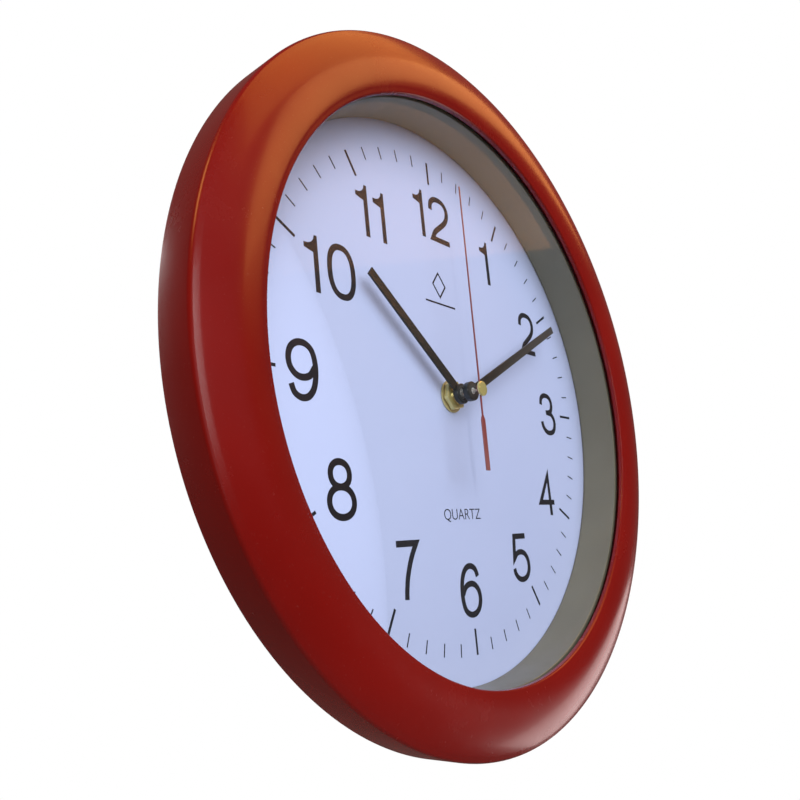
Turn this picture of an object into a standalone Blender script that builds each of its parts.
"""Round wall clock with a quartz movement, modelled piece by piece.

Units are metres and +Z is up. The clock faces -Y and hangs on a screw at the origin.
Every piece is drawn in the clock's own frame, an empty whose +Z runs out of the wall
along the hand axis, +X is to the viewer's right and +Y is up the dial. In that frame a
"depth" is a distance out from the wall and a radius is measured from the hand axis.
"""
import math

import bmesh
import bpy
from mathutils import Vector

MM = 0.001
GAP = 0.3 * MM

# Driving dimensions
CASE_RADIUS = 150.0 * MM
HANG_DROP = 85.0 * MM
DIAL_FRONT = 21.0 * MM
DIAL_RADIUS = 126.0 * MM
DIAL_HOLE = 4.3 * MM
LIP_RADIUS = 124.1 * MM
MOVEMENT_HALF = 28.0 * MM

# Case
SKIRT_BACK = 26.0 * MM
FACE_EDGE_DEPTH = DIAL_FRONT + 21.8 * MM
CREST_DEPTH = DIAL_FRONT + 25.6 * MM
LIP_DEPTH = DIAL_FRONT + 22.9 * MM
LIP_ROUND = 1.2 * MM
EDGE_ROUND = 2.2 * MM
BEZEL_FULLNESS = 0.8
CASE_WALL = 2.5 * MM
INNER_WALL_RADIUS = LIP_RADIUS + 7.0 * MM
GLASS_BACK = DIAL_FRONT + 19.4 * MM
GLASS_THICKNESS = 1.9 * MM
PLATE_BACK = 18.6 * MM
PLATE_FRONT = 20.2 * MM
PLATE_WALL_INNER = DIAL_RADIUS + 1.0 * MM
PLATE_WALL_OUTER = DIAL_RADIUS + 3.5 * MM
RIM_RADIUS = CASE_RADIUS - CASE_WALL - 0.8 * MM
RIM_BACK = SKIRT_BACK + 0.7 * MM
RIM_FRONT = RIM_BACK + 1.9 * MM
FOOT_OUTER = 123.5 * MM
FOOT_INNER = 119.5 * MM
BOSS_RADIUS = 138.0 * MM
BOSS_COUNT = 6
BOSS_FIRST_ANGLE = 27.0
BOSS_OUTER = 3.4 * MM
BOSS_BORE = 1.5 * MM
SCREW_HOLE = 1.9 * MM
BOSS_BACK = RIM_FRONT + GAP
HANGER_BACK = 4.0 * MM
HANGER_FRONT = 5.2 * MM
HANGER_SCREW_X = 16.5 * MM
KEYHOLE_DROP = 5.5 * MM
HANGER_POST_RADIUS = 3.5 * MM

# Movement case
COVER_BACK = 16.0 * MM
COVER_FRONT = 17.2 * MM
CASE_BACK = 2.2 * MM
SHELL = 1.0 * MM
BATTERY_RADIUS = 7.1 * MM
BATTERY_DEPTH = 8.6 * MM
BATTERY_Y = -19.4 * MM
BATTERY_LEFT = -24.5 * MM
BATTERY_LENGTH = 49.5 * MM
COIL_Y = 23.0 * MM
COIL_DEPTH = 10.6 * MM
COIL_LEFT = -16.0 * MM
COIL_RIGHT = 13.0 * MM
YOKE_LEFT = -21.0 * MM
YOKE_RIGHT = 18.0 * MM

# Coaxial stack through the dial
SECONDS_SHAFT_RADIUS = 0.5 * MM
ARBOR_BORE = 0.8 * MM
ARBOR_RADIUS = 1.4 * MM
HOUR_BORE = 1.7 * MM
HOUR_TUBE_RADIUS = 2.45 * MM
BUSHING_BORE = 2.75 * MM
BUSHING_RADIUS = 4.0 * MM
HOUR_HAND_DEPTH = DIAL_FRONT + 5.2 * MM
MINUTE_HAND_DEPTH = DIAL_FRONT + 11.2 * MM
SECOND_HAND_DEPTH = DIAL_FRONT + 15.6 * MM
HAND_THICKNESS = 0.8 * MM

# Hands at rest, in degrees clockwise from twelve
HOUR_ANGLE = -51.0
MINUTE_ANGLE = 63.2
SECOND_ANGLE = 0.8

# Gear trains: module and centres. Every arbor sits one train distance from the hand axis.
TRAIN_DISTANCE = 10.08 * MM
ROTOR_DISTANCE = 7.2 * MM
THIRD_DIRECTION = 25.0
INTERMEDIATE_DIRECTION = 85.0
MINUTE_WORK_DIRECTION = 150.0
ROTOR_DIRECTION = 150.0
BRIDGE_BACK = 11.0 * MM
BRIDGE_FRONT = 11.6 * MM
BACK_PIVOT = 3.8 * MM

COLOURS = {
    "red_gloss": ((0.42, 0.006, 0.004), 0.12, 0.0),
    "clear_glass": ((0.86, 0.9, 0.92), 0.03, 0.0),
    "grey_plastic": ((0.15, 0.155, 0.12), 0.5, 0.0),
    "dial_white": ((0.7, 0.75, 0.86), 0.6, 0.0),
    "back_white": ((0.68, 0.68, 0.65), 0.45, 0.0),
    "steel": ((0.56, 0.57, 0.58), 0.3, 1.0),
    "movement_black": ((0.015, 0.015, 0.016), 0.45, 0.0),
    "brass": ((0.62, 0.5, 0.2), 0.28, 1.0),
    "rubber": ((0.012, 0.012, 0.012), 0.8, 0.0),
    "hand_black": ((0.02, 0.021, 0.018), 0.4, 0.0),
    "second_red": ((0.22, 0.05, 0.05), 0.4, 0.0),
    "gear_white": ((0.75, 0.75, 0.7), 0.4, 0.0),
    "magnet": ((0.1, 0.1, 0.11), 0.35, 1.0),
    "copper": ((0.6, 0.22, 0.08), 0.35, 1.0),
    "bobbin_green": ((0.1, 0.35, 0.2), 0.45, 0.0),
    "board": ((0.03, 0.2, 0.08), 0.45, 0.0),
    "battery_wrap": ((0.05, 0.09, 0.2), 0.3, 0.0),
}


def clear_scene():
    for item in list(bpy.data.objects):
        bpy.data.objects.remove(item, do_unlink=True)


def new_collection(name):
    collection = bpy.data.collections.new(name)
    bpy.context.scene.collection.children.link(collection)
    return collection


def make_material(name):
    colour, roughness, metallic = COLOURS[name]
    material = bpy.data.materials.new(name)
    material.use_nodes = True
    shader = material.node_tree.nodes["Principled BSDF"]
    shader.inputs["Base Color"].default_value = (*colour, 1.0)
    shader.inputs["Roughness"].default_value = roughness
    shader.inputs["Metallic"].default_value = metallic
    return material


clear_scene()
PARTS = new_collection("wall_clock")
CUTTERS = new_collection("cutters")
MATERIALS = {name: make_material(name) for name in COLOURS}


def make_frame():
    """Empty at the hand axis on the wall: +Z out of the wall, +Y up the dial."""
    frame = bpy.data.objects.new("clock_axis", None)
    frame.location = (0.0, 0.0, -HANG_DROP)
    frame.rotation_euler = (math.radians(90.0), 0.0, 0.0)
    PARTS.objects.link(frame)
    return frame


FRAME = make_frame()


def polar(radius, degrees):
    """Point at a distance and a direction counted anticlockwise from +X."""
    angle = math.radians(degrees)
    return (radius * math.cos(angle), radius * math.sin(angle))


def finish(obj, material, location=(0.0, 0.0, 0.0), turn=0.0):
    """Put a part in the collection, in the clock's frame, with its own material."""
    for collection in list(obj.users_collection):
        collection.objects.unlink(obj)
    PARTS.objects.link(obj)
    obj.parent = FRAME
    obj.location = location
    obj.rotation_euler = (0.0, 0.0, math.radians(turn))
    obj.data.materials.clear()
    obj.data.materials.append(MATERIALS[material])
    if obj.type == "MESH":
        obj.data.shade_smooth()
        obj.data.set_sharp_from_angle(angle=math.radians(35.0))
    return obj


def turned(name, profile, steps=64):
    """Closed outline of (radius, depth) points, turned round the local Z axis.

    The outline runs down its outer side, from the front to the wall.
    """
    mesh = bpy.data.meshes.new(name)
    bm = bmesh.new()
    points = [bm.verts.new((radius, 0.0, depth)) for radius, depth in profile]
    closed = profile[0][0] > 0.0
    for first, second in zip(points, points[1:]):
        bm.edges.new((first, second))
    if closed:
        bm.edges.new((points[-1], points[0]))
    bm.to_mesh(mesh)
    bm.free()
    obj = bpy.data.objects.new(name, mesh)
    PARTS.objects.link(obj)
    screw = obj.modifiers.new("turn", "SCREW")
    screw.axis = "Z"
    screw.steps = steps
    screw.render_steps = steps
    screw.use_merge_vertices = True
    screw.merge_threshold = 0.00001
    return obj


def ring(name, outer, inner, front, back, steps=64):
    return turned(name, [(inner, front), (outer, front), (outer, back), (inner, back)], steps)


def disc(name, radius, front, back, steps=48):
    """Solid round disc, as a bmesh cylinder standing on its back depth."""
    mesh = bpy.data.meshes.new(name)
    bm = bmesh.new()
    bmesh.ops.create_cone(
        bm, cap_ends=True, segments=steps, radius1=radius, radius2=radius, depth=front - back
    )
    bmesh.ops.translate(bm, verts=bm.verts, vec=(0.0, 0.0, (front + back) / 2))
    bm.to_mesh(mesh)
    bm.free()
    obj = bpy.data.objects.new(name, mesh)
    PARTS.objects.link(obj)
    return obj


def box(name, low, high):
    """Box between two corners."""
    mesh = bpy.data.meshes.new(name)
    bm = bmesh.new()
    bmesh.ops.create_cube(bm, size=1.0)
    size = [b - a for a, b in zip(low, high)]
    bmesh.ops.scale(bm, verts=bm.verts, vec=size)
    middle = Vector([(a + b) / 2 for a, b in zip(low, high)])
    bmesh.ops.translate(bm, verts=bm.verts, vec=middle)
    bm.to_mesh(mesh)
    bm.free()
    obj = bpy.data.objects.new(name, mesh)
    PARTS.objects.link(obj)
    return obj


def plate(name, outline, back, front):
    """Flat outline drawn as a filled 2D curve and made a mesh of the given thickness."""
    curve = bpy.data.curves.new(name + "_outline", "CURVE")
    curve.dimensions = "2D"
    curve.fill_mode = "BOTH"
    curve.extrude = (front - back) / 2
    spline = curve.splines.new("POLY")
    spline.points.add(len(outline) - 1)
    for point, (x, y) in zip(spline.points, outline):
        point.co = (x, y, 0.0, 1.0)
    spline.use_cyclic_u = True
    guide = bpy.data.objects.new(name + "_curve", curve)
    PARTS.objects.link(guide)
    return mesh_of(guide, name, (front + back) / 2)


def mesh_of(guide, name, lift=0.0):
    """Mesh of a curve object, with its caps welded on."""
    graph = bpy.context.evaluated_depsgraph_get()
    mesh = bpy.data.meshes.new_from_object(guide.evaluated_get(graph))
    mesh.name = name
    bm = bmesh.new()
    bm.from_mesh(mesh)
    bmesh.ops.remove_doubles(bm, verts=bm.verts, dist=0.000001)
    bmesh.ops.translate(bm, verts=bm.verts, vec=(0.0, 0.0, lift))
    bmesh.ops.recalc_face_normals(bm, faces=bm.faces)
    bm.to_mesh(mesh)
    bm.free()
    bpy.data.objects.remove(guide, do_unlink=True)
    obj = bpy.data.objects.new(name, mesh)
    PARTS.objects.link(obj)
    return obj


def combine(obj, other, operation, solver="EXACT"):
    """Boolean between two parts; the second becomes a hidden cutter."""
    for collection in list(other.users_collection):
        collection.objects.unlink(other)
    CUTTERS.objects.link(other)
    other.parent = obj
    other.hide_render = True
    other.display_type = "WIRE"
    boolean = obj.modifiers.new(operation.lower(), "BOOLEAN")
    boolean.operation = operation
    boolean.solver = solver
    boolean.object = other
    return obj


def cut(obj, other, solver="EXACT"):
    return combine(obj, other, "DIFFERENCE", solver)


def join(obj, other, solver="EXACT"):
    return combine(obj, other, "UNION", solver)


def moved(obj, x, y):
    obj.location = (x, y, 0.0)
    return obj


def arc_points(centre, radius, start, end, count):
    """Points of an arc round a centre, as (first, second) pairs, ends included."""
    points = []
    for index in range(count + 1):
        angle = math.radians(start + (end - start) * index / count)
        points.append((centre[0] + radius * math.cos(angle), centre[1] + radius * math.sin(angle)))
    return points


def bezel_arc(start, end, count):
    """Convex face of the bezel from (radius, depth) to (radius, depth) through the crest."""
    points = []
    rise = CREST_DEPTH - (start[1] + end[1]) / 2
    for index in range(count + 1):
        share = index / count
        radius = start[0] + (end[0] - start[0]) * share
        depth = start[1] + (end[1] - start[1]) * share
        points.append((radius, depth + rise * math.sin(math.pi * share) ** BEZEL_FULLNESS))
    return points


# Case ------------------------------------------------------------------------------------


def boss_places():
    """Places of the case screws, spread evenly round the bezel."""
    step = 360.0 / BOSS_COUNT
    return [polar(BOSS_RADIUS, BOSS_FIRST_ANGLE + index * step) for index in range(BOSS_COUNT)]


def make_front_case():
    """Red bezel: rounded lip, convex face, filleted edge and skirt, with screw bosses."""
    lip_back = LIP_DEPTH - 1.3 * MM
    face_start = (LIP_RADIUS + 1.6 * MM, LIP_DEPTH + 1.4 * MM)
    face_end = (CASE_RADIUS - EDGE_ROUND * 0.8, FACE_EDGE_DEPTH + 0.1 * MM)
    edge = (CASE_RADIUS - EDGE_ROUND, FACE_EDGE_DEPTH - EDGE_ROUND)
    inside_face = FACE_EDGE_DEPTH - 2.6 * MM
    inside_crest = (INNER_WALL_RADIUS + 2.6 * MM, CREST_DEPTH - 4.2 * MM)
    profile = arc_points((LIP_RADIUS + LIP_ROUND, LIP_DEPTH), LIP_ROUND, 180.0, 110.0, 2)
    profile += bezel_arc(face_start, face_end, 6)
    profile += arc_points(edge, EDGE_ROUND, 60.0, 0.0, 2)
    profile += [(CASE_RADIUS, SKIRT_BACK), (CASE_RADIUS - CASE_WALL, SKIRT_BACK)]
    profile += [(CASE_RADIUS - CASE_WALL, inside_face), inside_crest]
    profile += [(INNER_WALL_RADIUS, inside_face), (INNER_WALL_RADIUS, BOSS_BACK)]
    profile += [(INNER_WALL_RADIUS - CASE_WALL, BOSS_BACK), (INNER_WALL_RADIUS - CASE_WALL, lip_back)]
    profile += [(LIP_RADIUS, lip_back)]
    case = turned("front_case", profile, 60)
    boss_front = FACE_EDGE_DEPTH + 0.2 * MM
    bore_front = BOSS_BACK + 8.1 * MM
    for x, y in boss_places():
        join(case, moved(disc("boss", BOSS_OUTER, boss_front, BOSS_BACK, 16), x, y))
        cut(case, moved(disc("boss_hole", BOSS_BORE, bore_front, SKIRT_BACK, 12), x, y))
    return finish(case, "red_gloss")


def make_glass():
    glass = disc("glass_lens", 128.3 * MM, GLASS_BACK + GLASS_THICKNESS, GLASS_BACK, 64)
    return finish(glass, "clear_glass")


def make_spacer_ring():
    """Straight grey wall between the dial and the glass."""
    spacer = ring("spacer_ring", 126.5 * MM, 124.5 * MM, GLASS_BACK - GAP, DIAL_FRONT + GAP, 64)
    return finish(spacer, "grey_plastic")


def make_dial():
    dial = disc("dial", DIAL_RADIUS, DIAL_FRONT, DIAL_FRONT - 0.5 * MM, 64)
    cut(dial, disc("dial_hole", DIAL_HOLE, DIAL_FRONT + MM, DIAL_FRONT - 2.0 * MM, 32))
    return finish(dial, "dial_white")


def make_back_case():
    """Pale moulding: dial plate, rim that carries the bezel, foot ring and hanger posts."""
    profile = [
        (DIAL_HOLE, PLATE_FRONT),
        (PLATE_WALL_INNER, PLATE_FRONT),
        (PLATE_WALL_INNER, RIM_FRONT),
        (RIM_RADIUS, RIM_FRONT),
        (RIM_RADIUS, RIM_BACK),
        (PLATE_WALL_OUTER, RIM_BACK),
        (PLATE_WALL_OUTER, PLATE_BACK),
        (FOOT_OUTER, PLATE_BACK),
        (FOOT_OUTER, 0.0),
        (FOOT_INNER, 0.0),
        (FOOT_INNER, PLATE_BACK),
        (DIAL_HOLE, PLATE_BACK),
    ]
    case = turned("back_case", profile, 60)
    for x, y in boss_places():
        cut(case, moved(disc("screw_hole", SCREW_HOLE, RIM_FRONT + MM, RIM_BACK - MM, 12), x, y))
    inside_plate = (PLATE_BACK + PLATE_FRONT) / 2
    post_back = HANGER_FRONT + GAP
    for x in (-HANGER_SCREW_X, HANGER_SCREW_X):
        post = disc("hanger_post", HANGER_POST_RADIUS, inside_plate, post_back, 20)
        join(case, moved(post, x, HANG_DROP))
        cut(case, moved(disc("post_hole", 1.3 * MM, 13.0 * MM, post_back - MM, 12), x, HANG_DROP))
    rib_half = 16.0 * MM
    rib_back = 12.0 * MM
    for side in (-1.0, 1.0):
        x = side * (MOVEMENT_HALF + 1.8 * MM)
        low = (x - 1.0 * MM, -rib_half, rib_back)
        high = (x + 1.0 * MM, rib_half, inside_plate)
        join(case, box("movement_rib", low, high))
    return finish(case, "back_white")


def make_screw(name, head, shank, head_height, length, depth, location):
    """Round-head screw driven towards the front; depth is where its head ends."""
    profile = [
        (0.0, depth + length),
        (shank * 0.5, depth + length),
        (shank, depth + length - shank),
        (shank, depth),
        (head, depth),
        (head, depth - head_height * 0.6),
        (head * 0.75, depth - head_height),
        (0.0, depth - head_height),
    ]
    screw = turned(name, profile, 10)
    slot = 0.4 * MM
    low = (-head * 1.2, -slot, depth - head_height - 1.0 * MM)
    cut(screw, box("slot", low, (head * 1.2, slot, depth - head_height * 0.45)))
    return finish(screw, "steel", location)


def make_case_screws():
    head_depth = RIM_BACK - GAP
    for index, (x, y) in enumerate(boss_places()):
        name = "case_screw_" + str(index + 1)
        make_screw(name, 2.9 * MM, 1.2 * MM, 1.8 * MM, 9.5 * MM, head_depth, (x, y, 0.0))


def rounded_outline(half_x, half_y, radius, count=4, centre=(0.0, 0.0)):
    """Rectangle with round corners, anticlockwise."""
    points = []
    for sign_x, sign_y, start in ((1, 1, 0.0), (-1, 1, 90.0), (-1, -1, 180.0), (1, -1, 270.0)):
        corner = (centre[0] + sign_x * (half_x - radius), centre[1] + sign_y * (half_y - radius))
        points += arc_points(corner, radius, start, start + 90.0, count)
    return points


def make_hanger():
    """Steel plate with a keyhole, on two posts of the back case, and its two screws."""
    outline = rounded_outline(22.0 * MM, 11.0 * MM, 3.0 * MM)
    hanger = plate("hanger_plate", outline, HANGER_BACK, HANGER_FRONT)
    cut(hanger, moved(disc("keyhole", 4.5 * MM, 9.0 * MM, 1.0 * MM, 24), 0.0, -KEYHOLE_DROP))
    slot = rounded_outline(2.25 * MM, 5.2 * MM, 2.2 * MM, 5, (0.0, -2.9 * MM))
    cut(hanger, plate("keyhole_slot", slot, 1.0 * MM, 9.0 * MM))
    for x in (-HANGER_SCREW_X, HANGER_SCREW_X):
        cut(hanger, moved(disc("hanger_hole", 1.6 * MM, 9.0 * MM, 1.0 * MM, 16), x, 0.0))
    finish(hanger, "steel", (0.0, HANG_DROP, 0.0))
    for index, x in enumerate((-HANGER_SCREW_X, HANGER_SCREW_X)):
        name = "hanger_screw_" + str(index + 1)
        head_depth = HANGER_BACK - GAP
        make_screw(name, 2.8 * MM, 1.0 * MM, 1.7 * MM, 8.0 * MM, head_depth, (x, HANG_DROP, 0.0))


# Movement case ---------------------------------------------------------------------------


def make_front_cover():
    """Front plate of the movement with the hole for the threaded bushing."""
    half = MOVEMENT_HALF
    cover = plate("movement_front_cover", rounded_outline(half, half, 3.0 * MM), COVER_BACK, COVER_FRONT)
    cut(cover, disc("bushing_hole", 4.3 * MM, 20.0 * MM, 10.0 * MM, 24))
    return finish(cover, "movement_black")


def bridge_posts():
    """Places of the posts that carry the gear bridge."""
    left, right = -17.5 * MM, 15.5 * MM
    bottom = -8.0 * MM
    return ((left, bottom), (right, bottom), (14.0 * MM, 13.9 * MM), (left, 11.5 * MM))


def make_rear_case():
    """Box open to the front, with a battery bay open to the back and bridge posts."""
    half = MOVEMENT_HALF
    front = COVER_BACK - GAP
    case = plate("movement_rear_case", rounded_outline(half, half, 3.0 * MM), CASE_BACK, front)
    inner = half - SHELL
    bay_top = BATTERY_Y + BATTERY_RADIUS + GAP
    floor = CASE_BACK + 1.2 * MM
    low = (-inner, bay_top + SHELL, floor)
    cut(case, box("gear_space", low, (inner, inner, front + 1.0 * MM)))
    bay_low = (-inner, -inner + 0.2 * MM, floor)
    cut(case, box("battery_space", bay_low, (inner, bay_top, front + 1.0 * MM)))
    hatch_low = (BATTERY_LEFT - 1.0 * MM, -inner + 0.2 * MM, 0.0)
    cut(case, box("battery_hatch", hatch_low, (inner - 0.3 * MM, bay_top, floor + 1.0 * MM)))
    for x, y in bridge_posts():
        join(case, moved(disc("post", 1.3 * MM, BRIDGE_BACK - GAP, floor - 0.6 * MM, 12), x, y))
    knob_x, knob_y = polar(TRAIN_DISTANCE, MINUTE_WORK_DIRECTION)
    cut(case, moved(disc("knob_hole", 1.1 * MM, 8.0 * MM, 0.0, 16), knob_x, knob_y))
    return finish(case, "movement_black")


def make_bushing():
    """Threaded brass tube with a flange behind the cover; the thread is turned grooves."""
    front = DIAL_FRONT + 4.5 * MM
    pitch = 1.5 * MM
    profile = [(BUSHING_BORE, front)]
    depth = front
    while depth > COVER_FRONT + 1.4 * MM:
        profile.append((BUSHING_RADIUS - 0.3 * MM, depth))
        profile.append((BUSHING_RADIUS, depth - pitch / 2))
        depth -= pitch
    profile += [(BUSHING_RADIUS - 0.1 * MM, depth), (BUSHING_RADIUS - 0.1 * MM, 15.7 * MM)]
    profile += [(5.4 * MM, 15.7 * MM), (5.4 * MM, 14.9 * MM), (BUSHING_BORE, 14.9 * MM)]
    return finish(turned("threaded_bushing", profile, 20), "brass")


def make_clamping_stack():
    """Rubber washer behind the case plate, then a brass washer and a hex nut on the dial."""
    washer = ring("rubber_washer", 9.0 * MM, 4.6 * MM, PLATE_BACK - GAP, COVER_FRONT + GAP, 32)
    finish(washer, "rubber")
    back = DIAL_FRONT + GAP
    finish(ring("brass_washer", 7.4 * MM, 4.4 * MM, back + 0.4 * MM, back, 32), "brass")
    nut = disc("hex_nut", 6.9 * MM, DIAL_FRONT + 3.4 * MM, DIAL_FRONT + 1.0 * MM, 6)
    bevel = nut.modifiers.new("edges", "BEVEL")
    bevel.width = 0.25 * MM
    bevel.segments = 1
    bevel.limit_method = "ANGLE"
    cut(nut, disc("nut_bore", BUSHING_RADIUS + GAP, 30.0 * MM, 18.0 * MM, 24))
    finish(nut, "brass", turn=12.0)


# Gears -----------------------------------------------------------------------------------


def gear_outline(teeth, module, turn):
    """Outline of a gear with pointed teeth and backlash; turn is the angle of one tooth."""
    tip = module * teeth / 2 + 0.6 * module
    root = module * teeth / 2 - 0.9 * module
    points = []
    for index in range(teeth):
        middle = math.radians(turn) + index * math.tau / teeth
        gap = middle + math.pi / teeth
        points.append((tip * math.cos(middle), tip * math.sin(middle)))
        points.append((root * math.cos(gap), root * math.sin(gap)))
    return points


def gear(name, teeth, module, turn, back, front):
    return plate(name, gear_outline(teeth, module, turn), back, front)


def facing_gap(teeth, direction):
    """Turn that puts a gear's tooth gap in a direction."""
    return direction + 180.0 / teeth


def make_seconds_wheel():
    """Wheel, pinion and long shaft of the seconds hand."""
    wheel = gear("seconds_wheel", 48, 0.36 * MM, facing_gap(48, INTERMEDIATE_DIRECTION), 5.8 * MM, 6.6 * MM)
    join(wheel, gear("seconds_pinion", 8, 0.28 * MM * 36 / 34, THIRD_DIRECTION, 6.4 * MM, 8.5 * MM))
    tip = SECOND_HAND_DEPTH + HAND_THICKNESS
    join(wheel, disc("seconds_shaft", SECONDS_SHAFT_RADIUS, tip, BACK_PIVOT, 12))
    return finish(wheel, "gear_white")


def make_third_wheel():
    """Wheel driven by the seconds pinion; its own pinion drives the centre wheel."""
    module = 0.28 * MM * 36 / 34
    backwards = THIRD_DIRECTION + 180.0
    wheel = gear("third_wheel", 60, module, facing_gap(60, backwards), 7.6 * MM, 8.4 * MM)
    join(wheel, gear("third_pinion", 8, 0.28 * MM, backwards, 8.2 * MM, 10.1 * MM))
    join(wheel, disc("third_arbor", 0.4 * MM, 11.4 * MM, BACK_PIVOT, 10))
    return finish(wheel, "gear_white", (*polar(TRAIN_DISTANCE, THIRD_DIRECTION), 0.0))


def make_centre_wheel():
    """Wheel that turns once an hour, free on the minute arbor."""
    wheel = gear("centre_wheel", 64, 0.28 * MM, facing_gap(64, THIRD_DIRECTION), 9.2 * MM, 10.0 * MM)
    cut(wheel, disc("centre_bore", ARBOR_RADIUS + GAP, 12.0 * MM, 8.0 * MM, 24))
    return finish(wheel, "gear_white")


def make_intermediate_wheel():
    """Wheel driven by the rotor; its pinion drives the seconds wheel."""
    towards_rotor = ROTOR_DIRECTION
    towards_axis = INTERMEDIATE_DIRECTION + 180.0
    wheel = gear("intermediate_wheel", 40, 0.3 * MM, facing_gap(40, towards_rotor), 4.2 * MM, 5.0 * MM)
    join(wheel, gear("intermediate_pinion", 8, 0.36 * MM, towards_axis, 4.8 * MM, 6.7 * MM))
    join(wheel, disc("intermediate_arbor", 0.4 * MM, 11.4 * MM, BACK_PIVOT, 10))
    return finish(wheel, "gear_white", (*polar(TRAIN_DISTANCE, INTERMEDIATE_DIRECTION), 0.0))


def rotor_centre():
    x, y = polar(TRAIN_DISTANCE, INTERMEDIATE_DIRECTION)
    offset_x, offset_y = polar(ROTOR_DISTANCE, ROTOR_DIRECTION)
    return (x + offset_x, y + offset_y)


def make_rotor():
    """Permanent magnet with a pinion, turned by the stator's field."""
    rotor = gear("rotor", 8, 0.3 * MM, ROTOR_DIRECTION + 180.0, 4.1 * MM, 8.4 * MM)
    join(rotor, disc("rotor_magnet", 2.6 * MM, 10.2 * MM, 8.2 * MM, 32))
    join(rotor, disc("rotor_arbor", 0.4 * MM, 11.4 * MM, BACK_PIVOT, 10))
    return finish(rotor, "magnet", (*rotor_centre(), 0.0))


def make_minute_arbor():
    """Hollow arbor of the minute hand with the cannon pinion that drives the motion work."""
    arbor = gear("minute_arbor", 12, 0.42 * MM, MINUTE_WORK_DIRECTION, 11.9 * MM, 13.0 * MM)
    tip = MINUTE_HAND_DEPTH + HAND_THICKNESS + 0.4 * MM
    join(arbor, disc("arbor_body", ARBOR_RADIUS, tip, 8.8 * MM, 20))
    cut(arbor, disc("arbor_bore", ARBOR_BORE, tip + 1.0 * MM, 8.0 * MM, 16), "MANIFOLD")
    return finish(arbor, "gear_white")


def make_clutch_spring():
    """Thin star washer that presses the centre wheel's drive on to the minute arbor."""
    points = []
    for index in range(6):
        start = 60.0 * index
        radius = 4.6 * MM if index % 2 == 0 else 2.6 * MM
        points += arc_points((0.0, 0.0), radius, start + 4.0, start + 56.0, 4)
    spring = plate("clutch_spring", points, 10.3 * MM, 10.55 * MM)
    cut(spring, disc("spring_bore", ARBOR_RADIUS + GAP, 12.0 * MM, 9.0 * MM, 20))
    return finish(spring, "brass")


def make_minute_work():
    """Idler of the motion work with its pinion, and the setting knob on the same axis."""
    centre = (*polar(TRAIN_DISTANCE, MINUTE_WORK_DIRECTION), 0.0)
    backwards = MINUTE_WORK_DIRECTION + 180.0
    wheel = gear("minute_work_wheel", 36, 0.42 * MM, facing_gap(36, backwards), 12.0 * MM, 12.9 * MM)
    module = 0.42 * MM * 24 / 25
    join(wheel, gear("minute_work_pinion", 10, module, backwards, 12.7 * MM, 14.6 * MM))
    join(wheel, disc("minute_work_arbor", 0.5 * MM, 15.4 * MM, 7.0 * MM, 10))
    finish(wheel, "gear_white", centre)
    knob = gear("setting_knob", 24, 0.36 * MM, 0.0, 0.8 * MM, 1.9 * MM)
    join(knob, disc("knob_shaft", 0.7 * MM, 6.7 * MM, 1.5 * MM, 12))
    finish(knob, "gear_white", centre)


def make_hour_wheel():
    """Hour wheel and the tube that carries the hour hand."""
    module = 0.42 * MM * 24 / 25
    wheel = gear("hour_wheel", 40, module, facing_gap(40, MINUTE_WORK_DIRECTION), 13.7 * MM, 14.5 * MM)
    tip = HOUR_HAND_DEPTH + HAND_THICKNESS + 0.4 * MM
    join(wheel, disc("hour_tube", HOUR_TUBE_RADIUS, tip, 13.9 * MM, 24))
    cut(wheel, disc("hour_bore", HOUR_BORE, tip + 1.0 * MM, 13.0 * MM, 20))
    return finish(wheel, "gear_white")


def make_bridge():
    """Middle plate that carries the front pivots of the gears behind it."""
    outline = rounded_outline(17.5 * MM, 14.2 * MM, 2.0 * MM, 3, (-2.0 * MM, 4.6 * MM))
    bridge = plate("gear_bridge", outline, BRIDGE_BACK, BRIDGE_FRONT)
    cut(bridge, disc("bridge_centre", ARBOR_RADIUS + GAP, 14.0 * MM, 9.0 * MM, 24))
    pivots = [
        polar(TRAIN_DISTANCE, THIRD_DIRECTION),
        polar(TRAIN_DISTANCE, INTERMEDIATE_DIRECTION),
        polar(TRAIN_DISTANCE, MINUTE_WORK_DIRECTION),
        rotor_centre(),
    ]
    for x, y in pivots:
        cut(bridge, moved(disc("pivot_hole", 0.85 * MM, 14.0 * MM, 9.0 * MM, 12), x, y))
    return finish(bridge, "movement_black")


# Motor, board and battery ----------------------------------------------------------------


def make_stator():
    """Soft iron plate round the rotor, with legs that reach the coil's core."""
    x, y = rotor_centre()
    back, front = 8.8 * MM, 9.8 * MM
    leg_width = 3.0 * MM
    stator = box("stator", (YOKE_LEFT, 15.6 * MM, back), (YOKE_RIGHT, 18.0 * MM, front))
    join(stator, moved(disc("pole_ring", 4.4 * MM, front, back, 32), x, y))
    for left in (YOKE_LEFT, YOKE_RIGHT - leg_width):
        join(stator, box("leg", (left, 16.6 * MM, back), (left + leg_width, 24.6 * MM, front)))
    cut(stator, moved(disc("rotor_hole", 3.1 * MM, front + MM, back - MM, 32), x, y))
    return finish(stator, "steel")


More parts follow.
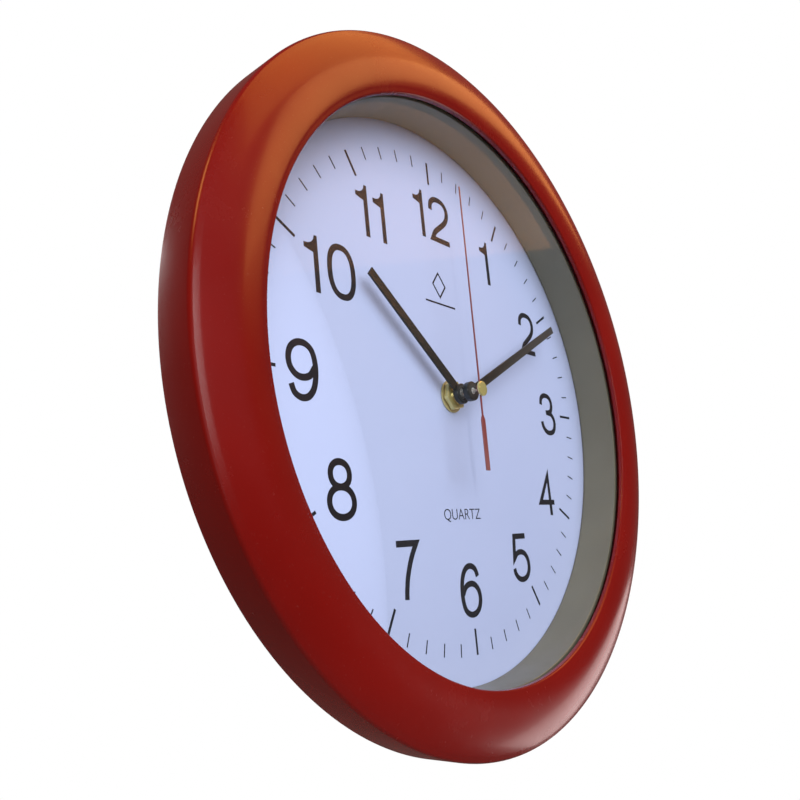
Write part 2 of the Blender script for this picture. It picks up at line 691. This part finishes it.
def make_coil():
    """Core, bobbin and copper winding along the top of the movement."""
    core_low = (YOKE_LEFT, COIL_Y - 1.2 * MM, COIL_DEPTH - 0.5 * MM)
    core_high = (YOKE_RIGHT, COIL_Y + 1.2 * MM, COIL_DEPTH + 0.5 * MM)
    finish(box("coil_core", core_low, core_high), "steel")
    middle = (COIL_LEFT + COIL_RIGHT) / 2
    half = (COIL_RIGHT - COIL_LEFT) / 2
    flange = 1.0 * MM
    flange_radius = 3.4 * MM
    tube_radius = 2.1 * MM
    profile = [
        (0.0, half),
        (flange_radius, half),
        (flange_radius, half - flange),
        (tube_radius, half - flange),
        (tube_radius, -half + flange),
        (flange_radius, -half + flange),
        (flange_radius, -half),
        (0.0, -half),
    ]
    bobbin = turned("coil_bobbin", profile, 24)
    slot = box("core_slot", (-0.8 * MM, -1.5 * MM, -half - MM), (0.8 * MM, 1.5 * MM, half + MM))
    cut(bobbin, slot)
    finish(bobbin, "bobbin_green", (middle, COIL_Y, COIL_DEPTH))
    bobbin.rotation_euler = (0.0, math.radians(90.0), 0.0)
    wound = half - flange - GAP
    winding = ring("coil_winding", 3.2 * MM, 2.4 * MM, wound, -wound, 24)
    finish(winding, "copper", (middle, COIL_Y, COIL_DEPTH))
    winding.rotation_euler = (0.0, math.radians(90.0), 0.0)


def make_board():
    """Circuit board with its crystal and chip."""
    board = box("circuit_board", (16.0 * MM, -9.5 * MM, 12.2 * MM), (26.0 * MM, 14.0 * MM, 13.2 * MM))
    finish(board, "board")
    chip = box("control_chip", (18.5 * MM, -7.5 * MM, 13.5 * MM), (23.5 * MM, -2.5 * MM, 14.6 * MM))
    finish(chip, "rubber")
    can = turned("quartz_crystal", [(0.0, 3.2 * MM), (0.8 * MM, 3.2 * MM), (1.0 * MM, 3.0 * MM),
                                    (1.0 * MM, -3.2 * MM), (0.0, -3.2 * MM)], 20)
    finish(can, "steel", (21.0 * MM, 6.0 * MM, 14.5 * MM))
    can.rotation_euler = (math.radians(90.0), 0.0, 0.0)


def make_battery():
    """AA cell lying along the bottom of the movement, with its two contacts."""
    nub = 2.75 * MM
    end = BATTERY_LENGTH
    profile = [
        (0.0, end + 1.0 * MM),
        (nub, end + 1.0 * MM),
        (nub, end),
        (BATTERY_RADIUS - 0.6 * MM, end),
        (BATTERY_RADIUS, end - 0.6 * MM),
        (BATTERY_RADIUS, 0.3 * MM),
        (BATTERY_RADIUS - 0.3 * MM, 0.0),
        (0.0, 0.0),
    ]
    battery = turned("battery", profile, 32)
    finish(battery, "battery_wrap", (BATTERY_LEFT, BATTERY_Y, BATTERY_DEPTH))
    battery.rotation_euler = (0.0, math.radians(90.0), 0.0)
    low = (26.3 * MM, BATTERY_Y - 4.0 * MM, 4.4 * MM)
    high = (26.7 * MM, BATTERY_Y + 4.0 * MM, 13.0 * MM)
    finish(box("positive_contact", low, high), "steel")


def make_negative_spring():
    """Conical spring wound by a loop, pressed between the bay wall and the cell."""
    wire = 0.28 * MM
    turns = 2.5
    per_turn = 10
    start_x = -26.6 * MM + wire
    end_x = BATTERY_LEFT - GAP - wire
    curve = bpy.data.curves.new("spring_path", "CURVE")
    curve.dimensions = "3D"
    curve.bevel_depth = wire
    curve.bevel_resolution = 1
    curve.use_fill_caps = True
    spline = curve.splines.new("POLY")
    count = int(turns * per_turn)
    spline.points.add(count)
    for index in range(count + 1):
        share = index / count
        radius = (4.8 - 2.8 * share) * MM
        angle = math.tau * turns * share
        x = start_x + (end_x - start_x) * share
        spline.points[index].co = (x, radius * math.cos(angle), radius * math.sin(angle), 1.0)
    guide = bpy.data.objects.new("spring_curve", curve)
    PARTS.objects.link(guide)
    spring = mesh_of(guide, "negative_spring")
    return finish(spring, "steel", (0.0, BATTERY_Y, BATTERY_DEPTH))


# Hands -----------------------------------------------------------------------------------


def hand_outline(tip, half_width, boss, tail=0.0):
    """Blade of constant width with a round boss at the axis and a square tip."""
    spread = math.degrees(math.asin(half_width / boss))
    points = [(half_width, tip), (-half_width, tip)]
    if tail > 0.0:
        points += arc_points((0.0, 0.0), boss, 90.0 + spread, 270.0 - spread, 10)
        points += [(-half_width, -tail), (half_width, -tail)]
        points += arc_points((0.0, 0.0), boss, 270.0 + spread, 450.0 - spread, 10)
    else:
        points += arc_points((0.0, 0.0), boss, 90.0 + spread, 450.0 - spread, 28)
    return points


def make_hour_hand():
    outline = hand_outline(69.8 * MM, 2.2 * MM, 4.7 * MM)
    hand = plate("hour_hand", outline, HOUR_HAND_DEPTH, HOUR_HAND_DEPTH + HAND_THICKNESS)
    cut(hand, disc("hour_hand_bore", HOUR_TUBE_RADIUS + GAP, 40.0 * MM, 20.0 * MM, 24))
    return finish(hand, "hand_black", turn=-HOUR_ANGLE)


def make_minute_hand():
    outline = hand_outline(92.5 * MM, 2.0 * MM, 4.45 * MM)
    hand = plate("minute_hand", outline, MINUTE_HAND_DEPTH, MINUTE_HAND_DEPTH + HAND_THICKNESS)
    cut(hand, disc("minute_hand_bore", ARBOR_RADIUS + GAP, 40.0 * MM, 20.0 * MM, 24))
    return finish(hand, "hand_black", turn=-MINUTE_ANGLE)


def make_second_hand():
    """Needle with a narrow neck and a wide counterweight bar, and its round brass hub."""
    needle = 0.45 * MM
    bar = 1.5 * MM
    back = SECOND_HAND_DEPTH
    front = back + 0.5 * MM
    outline = [(needle * 0.7, 94.5 * MM), (-needle * 0.7, 94.5 * MM), (-needle, 0.0)]
    outline += [(-needle, -12.0 * MM), (-bar, -13.5 * MM), (-bar, -35.7 * MM)]
    outline += [(bar, -35.7 * MM), (bar, -13.5 * MM), (needle, -12.0 * MM), (needle, 0.0)]
    hand = plate("second_hand", outline, back, front)
    join(hand, disc("second_hand_boss", 2.4 * MM, front, back, 24))
    cut(hand, disc("second_hand_bore", SECONDS_SHAFT_RADIUS + GAP, 60.0 * MM, 30.0 * MM, 16))
    finish(hand, "second_red", turn=-SECOND_ANGLE)
    hub_back = back + HAND_THICKNESS + GAP
    profile = [(0.0, hub_back + 0.9 * MM), (2.8 * MM, hub_back + 0.9 * MM), (3.3 * MM, hub_back + 0.5 * MM)]
    profile += [(3.3 * MM, hub_back), (0.0, hub_back)]
    finish(turned("second_hand_cap", profile, 32), "brass")


def build():
    make_front_case()
    make_glass()
    make_spacer_ring()
    make_dial()
    make_back_case()
    make_case_screws()
    make_hanger()
    make_front_cover()
    make_rear_case()
    make_bushing()
    make_clamping_stack()
    make_seconds_wheel()
    make_third_wheel()
    make_centre_wheel()
    make_intermediate_wheel()
    make_rotor()
    make_minute_arbor()
    make_clutch_spring()
    make_minute_work()
    make_hour_wheel()
    make_bridge()
    make_stator()
    make_coil()
    make_board()
    make_battery()
    make_negative_spring()
    make_hour_hand()
    make_minute_hand()
    make_second_hand()


build()
